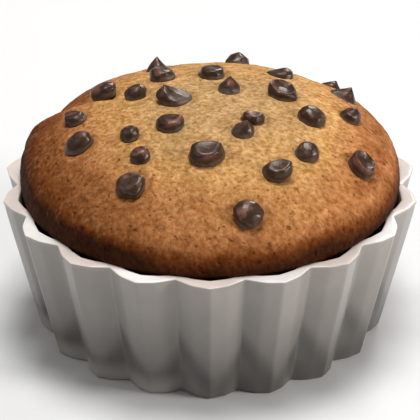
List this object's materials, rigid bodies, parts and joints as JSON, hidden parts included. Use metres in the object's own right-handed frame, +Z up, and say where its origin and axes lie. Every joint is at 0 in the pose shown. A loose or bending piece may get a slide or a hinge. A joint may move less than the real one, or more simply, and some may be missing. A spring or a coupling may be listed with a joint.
{
  "type": "muffin",
  "caption": "Domed chocolate-chip muffin standing in a round fluted cup of glazed ceramic, with chips set in its browned crown and a flat underside to rest on.",
  "frame": {"origin": "middle of the cup's flat underside, on the surface it stands on", "axes": "+Z up through the crown of the muffin; one flute of the cup points along -Y and the opposite one along +Y"},
  "size_m": [0.0882, 0.0896, 0.054],
  "materials": {
    "ceramic": "warm white satin glaze",
    "crumb": "baked sponge crust, golden at the crown and dark brown at the edge",
    "chocolate": "dark chocolate with a soft gloss"
  },
  "bodies": {
    "root": {"baking_cup": "ceramic", "crumb": "crumb", "chocolate_chip_01": "chocolate", "chocolate_chip_02": "chocolate", "chocolate_chip_03": "chocolate", "chocolate_chip_04": "chocolate", "chocolate_chip_05": "chocolate", "chocolate_chip_06": "chocolate", "chocolate_chip_07": "chocolate", "chocolate_chip_08": "chocolate", "chocolate_chip_09": "chocolate", "chocolate_chip_10": "chocolate", "chocolate_chip_11": "chocolate", "chocolate_chip_12": "chocolate", "chocolate_chip_13": "chocolate", "chocolate_chip_14": "chocolate", "chocolate_chip_15": "chocolate", "chocolate_chip_16": "chocolate", "chocolate_chip_17": "chocolate", "chocolate_chip_18": "chocolate", "chocolate_chip_19": "chocolate", "chocolate_chip_20": "chocolate", "chocolate_chip_21": "chocolate", "chocolate_chip_22": "chocolate", "chocolate_chip_23": "chocolate", "chocolate_chip_24": "chocolate", "chocolate_chip_25": "chocolate", "chocolate_chip_26": "chocolate", "chocolate_chip_27": "chocolate", "chocolate_chip_28": "chocolate", "chocolate_chip_29": "chocolate", "chocolate_chip_30": "chocolate"}
  },
  "joints": []
}
